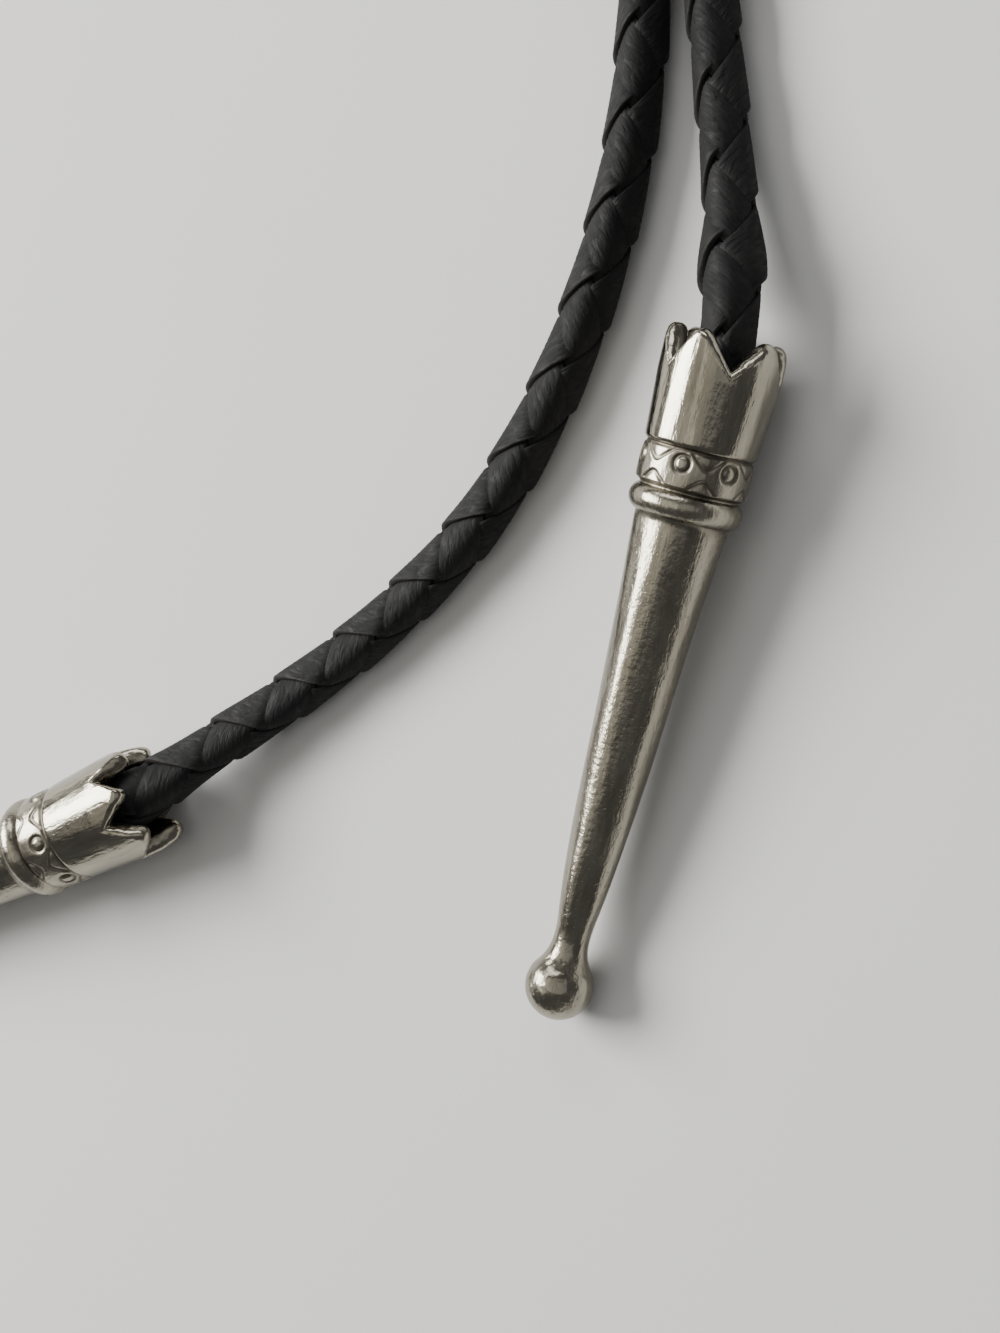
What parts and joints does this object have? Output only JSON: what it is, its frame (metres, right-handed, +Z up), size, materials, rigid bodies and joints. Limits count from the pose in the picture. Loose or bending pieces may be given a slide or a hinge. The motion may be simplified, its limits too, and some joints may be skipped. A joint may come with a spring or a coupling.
{
  "type": "bolo tie",
  "caption": "Bolo tie: braided leather neck cord with cast metal crown-mouthed tips and a plain oval slide, laid flat as a neck loop.",
  "frame": {"origin": "on the resting surface, under the middle of the whole tie's box", "axes": "+X across the tie, +Y from the tips through the slide towards the back of the neck loop, +Z up off the surface it lies on"},
  "size_m": [0.2052, 0.4424, 0.0109],
  "materials": {
    "cast_metal": "polished nickel-silver casting, darkened in the recesses",
    "braided_leather": "black dyed leather laces, semi-matte, finely creased",
    "slide_metal": "plain polished nickel silver, finely scratched"
  },
  "bodies": {
    "root": {"tip_left": "cast_metal", "tip_right": "cast_metal", "cord_end_left": "braided_leather", "cord_end_right": "braided_leather", "cord_neck_loop": "braided_leather", "slide": "slide_metal"}
  },
  "joints": []
}
